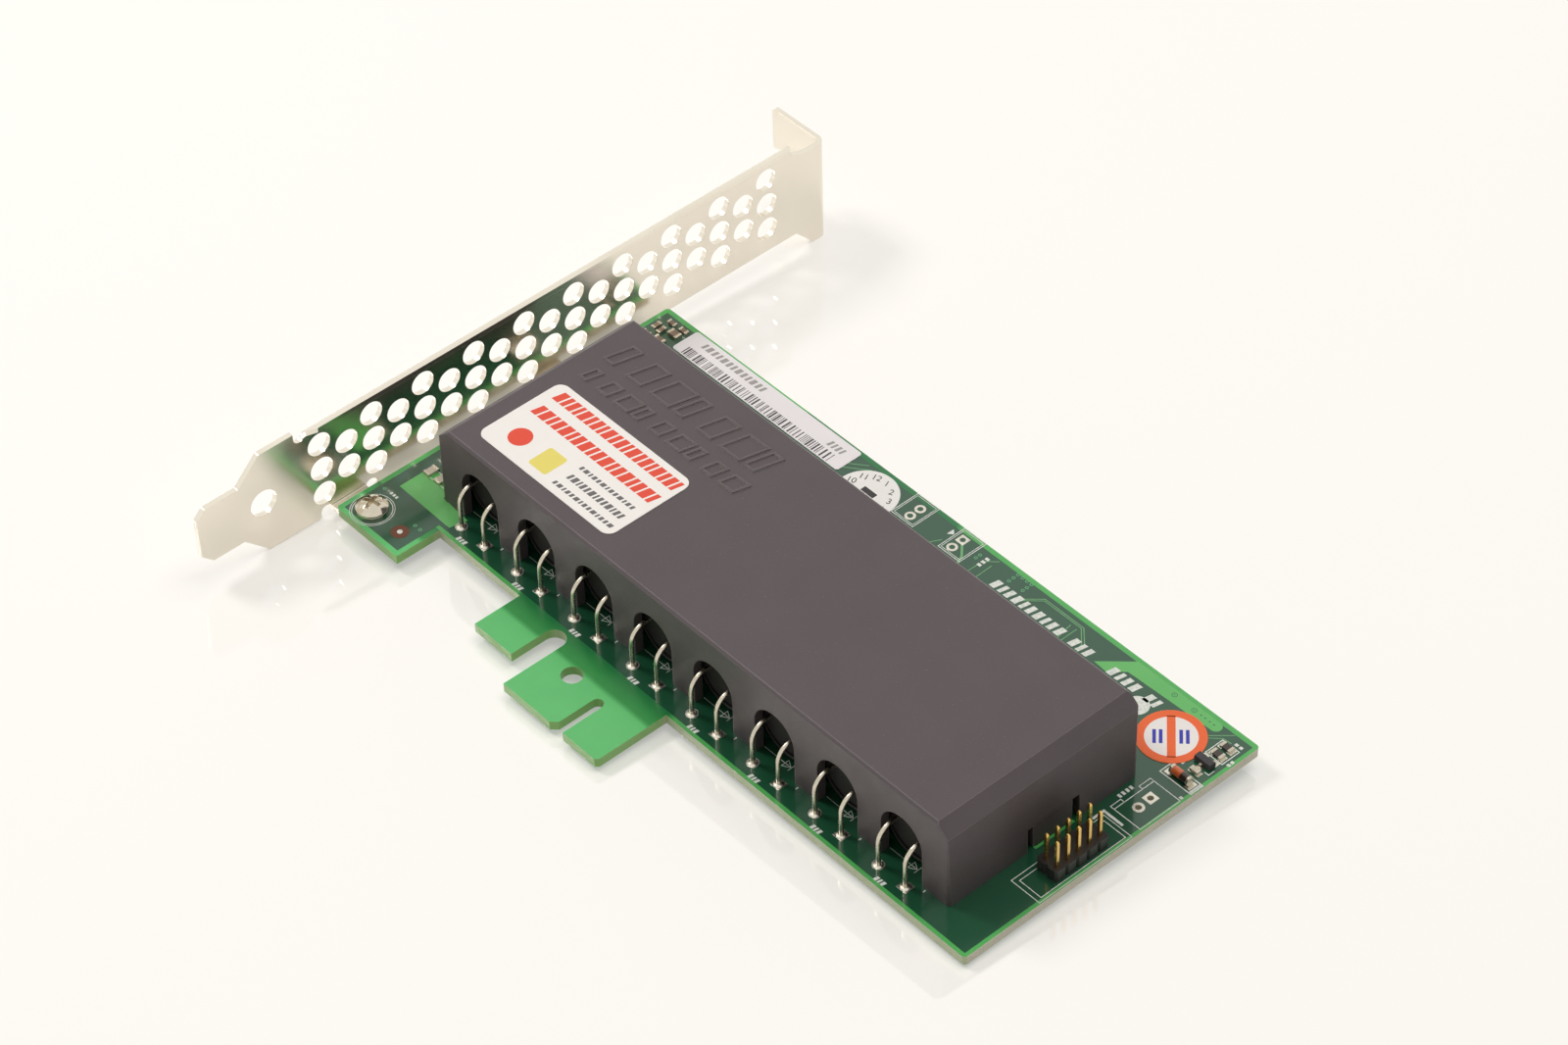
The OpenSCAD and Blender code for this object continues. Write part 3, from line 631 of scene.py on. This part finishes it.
def dress_board():
    """Mask, copper, pads, print, tracks, vias and marks."""
    silk, tin = Flat(*PRINT), Flat(*PADS)
    dress(laminate(), "board")
    copper_planes(mask_on_copper())
    bright_lanes(bare_lane())
    silk_frames(silk)
    silk_polarity(silk)
    silk_blocks(silk)
    top_pads(silk, tin)
    silk.done("silkscreen", silkscreen(), "circuit_board")
    tin.done("solder_pads", LOOKS["solder"], "solder")
    track = Flat(*TRACKS)
    for path in FINE_TRACKS:
        track.stroke(path, 0.13)
    track.stroke([(69.4, 83.2), (71.3, 81.3), (72.1, 79.4)], 0.35)
    track.done("tracks", trace_green("track", (104, 170, 110), (128, 186, 128)), "circuit_board")
    vias = Flat(*MARKS)
    for x, y in VIA_PLACES:
        vias.ring(x, y, 0.3, 0.15, 20)
    vias.done("vias", trace_green("via", (84, 160, 110), (110, 182, 130)), "circuit_board")
    targets = Flat(*MARKS)
    for x, y in ((111.2, 84.1), (115.1, 84.0)):
        targets.ring(x, y, 0.42, 0.34, 32).disc(x, y, 0.1, 12)
    for x in (116.4, 117.2, 118.1, 118.9):
        targets.disc(x, 84.0, 0.13, 12)
    targets.done("targets", trace_green("target", (30, 96, 70), (40, 110, 80)), "circuit_board")
    mark = Flat(*MARKS)
    mark.ring(12.5, 25.7, 1.35, 0.42)
    mark.done("probe_ring", ink("brown_mask", (104, 58, 34)), "circuit_board")


# ---- Labels ----

def label_frame(node):
    low, high = card_box(node)
    return low.x, low.y, high.x, high.y, high.z


def cover_label_print():
    """Red bars in two rows, a red disc, a yellow patch and thin grey bars."""
    x0, y0, x1, y1, top = label_frame("cover_label")
    red, yellow, grey = (Flat(top, INK) for _ in range(3))
    slanted_blocks(red, x0 + 1.7, x1 - 0.9, y1 - 3.3, y1 - 1.1, (1.3, 0.85, 1.1, 0.7), 0.34)
    slanted_blocks(red, x0 + 1.7, x1 - 1.1, y1 - 7.3, y1 - 5.1, (1.15, 1.4, 0.8), 0.34)
    red.disc(x0 + 4.95, y0 + 4.05, 1.85, 48)
    yellow.polygon(rounded(x0 + 9.6, y0 + 1.5, x0 + 13.4, y0 + 5.9, 0.5))
    for row, (start, end, height) in enumerate(((15.6, 28.2, 0.75), (15.8, 28.2, 1.15), (15.2, 28.4, 0.75))):
        y = y0 + (5.9, 3.4, 1.3)[row]
        slanted_blocks(grey, x0 + start, x0 + end, y, y + height, (0.5, 0.8, 0.35, 0.6), 0.35)
    red.done("label_red", ink("red_ink", (238, 84, 62)), "cover_label")
    yellow.done("label_yellow", ink("yellow_ink", (244, 228, 120)), "cover_label")
    grey.done("label_grey", ink("grey_ink", (112, 108, 108)), "cover_label")


def long_label_print():
    """A row of upright bars of uneven width, and thin grey bars over them."""
    x0, y0, x1, y1, top = label_frame("long_label")
    dark, grey = Flat(top, INK), Flat(top, INK)
    rng = random.Random(7)
    x = x0 + 1.8
    while x < x1 - 2.6:
        width = rng.choice((0.12, 0.12, 0.2, 0.32))
        dark.box(x, y0 + 0.2, x + width, y0 + 2.0)
        x += width + rng.choice((0.16, 0.22, 0.3, 0.5))
    slanted_blocks(grey, x0 + 3, x0 + 17, y0 + 3.1, y0 + 4.3, (0.5, 0.8, 0.6), 0.45)
    slanted_blocks(grey, x0 + 31.5, x0 + 35, y0 + 2.6, y0 + 3.8, (0.5, 0.4), 0.4)
    dark.done("long_bars", ink("bar_ink", (78, 74, 78)), "long_label")
    grey.done("long_marks", ink("mark_ink", (168, 162, 160)), "long_label")


def number(text, x, y, size, top, turn, look, slot, name):
    """A plain number lying on a sticker."""
    curve = bpy.data.curves.new(name, "FONT")
    curve.body = text
    curve.size = size * MM
    curve.extrude = 0.005 * MM
    curve.align_x = curve.align_y = "CENTER"
    carrier = bpy.data.objects.new(name + "_outline", curve)
    bpy.context.scene.collection.objects.link(carrier)
    bpy.context.view_layer.update()
    mesh = bpy.data.meshes.new_from_object(carrier.evaluated_get(bpy.context.evaluated_depsgraph_get()))
    mesh.transform(Matrix.Translation(spot(x, y, top + 0.006)) @ Matrix.Rotation(turn, 4, "Z"))
    bpy.data.objects.remove(carrier)
    bpy.data.curves.remove(curve)
    return finish_piece(name, mesh, look)


def month_dial():
    """Month numbers round the sticker, and a bar in its middle."""
    x0, y0, x1, y1, top = label_frame("month_sticker")
    x, y = (x0 + x1) / 2, (y0 + y1) / 2
    look = ink("dial_ink", (52, 48, 50))
    for month in range(1, 13):
        turn = math.radians(112 - 30 * month)
        number(str(month), x + 3.7 * math.cos(turn), y + 3.7 * math.sin(turn), 1.6, top, math.radians(22),
               look, "month_sticker", f"month_{month}")
    bar = Flat(top, INK)
    bar.box(x - 1.3, y + 0.1, x + 1.3, y + 1.1).box(x - 1.5, y - 0.6, x + 1.5, y - 0.45)
    bar.done("month_bar", look, "month_sticker")


def ring_print():
    """An orange ring with a bar across it, and plain blue bars on both sides of the bar."""
    x0, y0, x1, y1, top = label_frame("ring_sticker")
    x, y = (x0 + x1) / 2, (y0 + y1) / 2
    orange, blue, white = Flat(top, 0.012), Flat(top, 0.008), Flat(top, 0.004)
    white.disc(x, y, 4.2, 64)
    orange.ring(x, y, 4.95, 3.75, 72)
    lean = math.radians(135)
    along, across = (math.cos(lean), math.sin(lean)), (math.sin(lean), -math.cos(lean))

    def turned(a, b):
        return x + along[0] * a + across[0] * b, y + along[1] * a + across[1] * b

    orange.polygon([turned(a, b) for a, b in ((3.9, 0.6), (3.9, -0.6), (-3.9, -0.6), (-3.9, 0.6))])
    for t in (-2.6, -1.7, 1.1, 2.0):
        blue.polygon([turned(a, b) for a, b in ((-1.3, t), (1.3, t), (1.3, t + 0.5), (-1.3, t + 0.5))])
    white.done("ring_ground", ink("white_ink", (250, 244, 240)), "ring_sticker")
    blue.done("ring_blocks", ink("blue_ink", (58, 62, 178)), "ring_sticker")
    orange.done("ring_mark", ink("orange_ink", (246, 112, 62)), "ring_sticker")


# ---- Small parts ----

def terminals():
    """Plated ends over the chips' own ends."""
    plated = []
    for x, y, turn in ((5.5, 83.6, 0), (8.0, 83.7, 0), (4.4, 79.4, 0), (4.2, 81.6, 1), (5.5, 81.4, 1)):
        plated.append((x, y, 1.6, 0.8, 0.5, turn))
    plated += [(7.6, 82.2, 2, 1.25, 0.6, 0), (7.0, 79.6, 2, 1.25, 0.6, 0)]
    plated += [(5.9, 36.8, 2, 1.3, 0.55, 1), (8.3, 36.8, 2, 1.3, 0.55, 1)]
    plated += [(BOARD_HIGH.x - 2.85, BOARD_HIGH.y - 3.55 - 1.8 * i, 1.9, 1.1, 0.5, 0) for i in (0, 1)]
    plated.append((BOARD_HIGH.x - 2.8, BOARD_HIGH.y - 9.8, 1.5, 0.8, 0.6, 0))
    caps = Flat(0.0, 0.0)
    for x, y, length, width, height, turn in plated:
        caps.thick = height + PLATING
        end = length * 0.22
        for side in (-1, 1):
            a, b = side * (length / 2 - end), side * (length / 2 + PLATING)
            low, high, half = min(a, b), max(a, b), width / 2 + PLATING
            if turn:
                caps.box(x - half, y + low, x + half, y + high)
            else:
                caps.box(x + low, y - half, x + high, y + half)
    caps.done("chip_ends", LOOKS["tin"], "tinned_wire")


# ---- Stage ----

def camera():
    """The photograph's view: its angle, distance and lens round a point on the board."""
    azimuth, elevation, roll = (math.radians(a) for a in CAMERA_TURN)
    back = Vector((math.sin(azimuth) * math.cos(elevation), -math.cos(azimuth) * math.cos(elevation),
                   math.sin(elevation)))
    right = Vector((math.cos(azimuth), math.sin(azimuth), 0))
    up = back.cross(right)
    across = right * math.cos(roll) + up * math.sin(roll)
    upward = up * math.cos(roll) - right * math.sin(roll)
    data = bpy.data.cameras.new("camera")
    data.lens, data.sensor_width = CAMERA_LENS, CAMERA_SENSOR
    data.clip_start, data.clip_end = 0.01, 50
    obj = bpy.data.objects.new("camera", data)
    turn = Matrix((across, upward, back)).transposed().to_4x4()
    obj.matrix_world = Matrix.Translation(spot(*CAMERA_AIM) + back * CAMERA_AWAY) @ turn
    bpy.context.scene.collection.objects.link(obj)
    bpy.context.scene.camera = obj


def table():
    """A flat table under the three points on which the card rests."""
    flange = Vector((ORIGIN.x, BRACKET_HIGH.y, BRACKET_LOW.z))
    panel = spot(0, 11.35, -2.9)
    tails_low, tails_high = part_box("lead_solder")
    tails = Vector((tails_high.x, (tails_low.y + tails_high.y) / 2, tails_low.z))
    normal = (tails - panel).cross(flange - panel).normalized()
    mesh = bpy.data.meshes.new("table")
    mesh.from_pydata([(-3, -3, 0), (3, -3, 0), (3, 3, 0), (-3, 3, 0)], [], [(0, 1, 2, 3)])
    obj = bpy.data.objects.new("table", mesh)
    bpy.context.scene.collection.objects.link(obj)
    turn = Vector((0, 0, 1)).rotation_difference(normal).to_matrix().to_4x4()
    obj.matrix_world = Matrix.Translation(panel - normal * 0.00005) @ turn
    mesh.materials.append(floor_look())


def lamp(name, direction, distance, size, power, color, mirrored=True):
    """A round lamp, turned to the card's middle. One that isn't mirrored leaves no image in glossy faces."""
    data = bpy.data.lights.new(name, "AREA")
    data.shape, data.size, data.energy, data.color = "DISK", size, power, color
    obj = bpy.data.objects.new(name, data)
    direction = Vector(direction).normalized()
    obj.matrix_world = (Matrix.Translation(direction * distance)
                        @ direction.to_track_quat("Z", "Y").to_matrix().to_4x4())
    obj.visible_glossy = mirrored
    bpy.context.scene.collection.objects.link(obj)


def lights():
    lamp("key", (-0.59, -0.24, 0.77), 1.2, 0.34, 5.0, (1.0, 0.975, 0.94))
    lamp("overhead", (0.1, 0.25, 1.0), 1.5, 1.1, 9.0, (1.0, 0.985, 0.96), mirrored=False)
    world = bpy.data.worlds.new("studio")
    world.use_nodes = True
    tree = world.node_tree
    tree.nodes.clear()
    out = tree.nodes.new("ShaderNodeOutputWorld")
    path = tree.nodes.new("ShaderNodeLightPath")
    seen = path.outputs["Is Camera Ray"]
    for kind in ("Is Glossy Ray", "Is Transmission Ray"):
        joined = tree.nodes.new("ShaderNodeMath")
        joined.operation = "MAXIMUM"
        tree.links.new(seen, joined.inputs[0])
        tree.links.new(path.outputs[kind], joined.inputs[1])
        seen = joined.outputs[0]
    plain, shown = (tree.nodes.new("ShaderNodeBackground") for _ in range(2))
    plain.inputs[0].default_value, plain.inputs[1].default_value = (1.0, 0.985, 0.96, 1), 0.27
    shown.inputs[0].default_value, shown.inputs[1].default_value = (1.0, 0.985, 0.94, 1), 1.0
    joined = tree.nodes.new("ShaderNodeMixShader")
    tree.links.new(seen, joined.inputs[0])
    tree.links.new(plain.outputs[0], joined.inputs[1])
    tree.links.new(shown.outputs[0], joined.inputs[2])
    tree.links.new(joined.outputs[0], out.inputs[0])
    bpy.context.scene.world = world
    bpy.context.scene.view_settings.view_transform = "Standard"


# ---- Putting it together ----

LOOKS = {
    "solder": metal("solder", (206, 202, 190), (232, 228, 216), 0.3, 0.8, 0.02, 0.1),
    "tin": metal("tinned_wire", (186, 178, 162), (214, 206, 190), 0.24, 0.5, 0.004),
}


def dress_nodes():
    dress(nickel(), "bracket")
    dress(metal("screw_steel", (196, 188, 172), (224, 216, 200), 0.15, 1.5, 0.006, 0.12), "bracket_screws")
    dress(plastic("cover_plastic", (78, 69, 72), (88, 78, 81), 0.46, 0.16, 0.022, 0.26, (158, 148, 147)),
          "capacitor_cover")
    dress(plastic("can_sleeve", (15, 13, 13), (22, 18, 18), 0.4, 0.3, 0.006, 0.1, (70, 62, 60)),
          *[f"capacitor_{i}" for i in CAPS])
    dress(plastic("seal_rubber", (14, 11, 10), (22, 17, 15), 0.65, 0.12, 0.02, 0.1, (60, 52, 48)),
          *[f"capacitor_seal_{i}" for i in CAPS])
    dress(LOOKS["tin"], *[f"capacitor_leads_{i}" for i in CAPS], "transistor_legs", "diode_caps")
    dress(LOOKS["solder"], "lead_solder", "header_solder")
    dress(plastic("header_plastic", (24, 22, 23), (36, 32, 32), 0.45, 0.1, 0.008, 0.1, (84, 78, 76)),
          "header_base")
    dress(metal("gold_pin", (206, 164, 84), (240, 206, 128), 0.22, 0.6, 0.004, 0.06), "header_pins")
    dress(plastic("resistor", (52, 46, 42), (80, 70, 64), 0.5, 0.08, 0.006, 0.05, (120, 110, 100)),
          "corner_resistors")
    dress(plastic("epoxy", (44, 42, 44), (56, 54, 56), 0.5, 0.08, 0.008, 0.08, (104, 100, 100)),
          "transistor_body")
    dress(diode_glass(), "diode_body")
    dress(plastic("white_ceramic", (196, 186, 166), (216, 206, 186), 0.45, 0.1, 0.006, 0.05, (236, 230, 218)),
          "ceramic_chip", "ear_chips")
    dress(plastic("chip", (120, 98, 80), (150, 128, 108), 0.45, 0.1, 0.006, 0.05, (180, 164, 146)),
          "bracket_side_chips")
    dress(paper("cover_label", (250, 245, 240), (254, 250, 245)), "cover_label")
    dress(paper("long_label", (240, 234, 236), (246, 241, 242)), "long_label")
    dress(paper("month_sticker", (243, 240, 236), (249, 246, 242)), "month_sticker")
    dress(paper("ring_sticker", (244, 120, 72), (248, 132, 84)), "ring_sticker")


dress_nodes()
dress_board()
cover_label_print()
long_label_print()
month_dial()
ring_print()
terminals()
camera()
table()
lights()
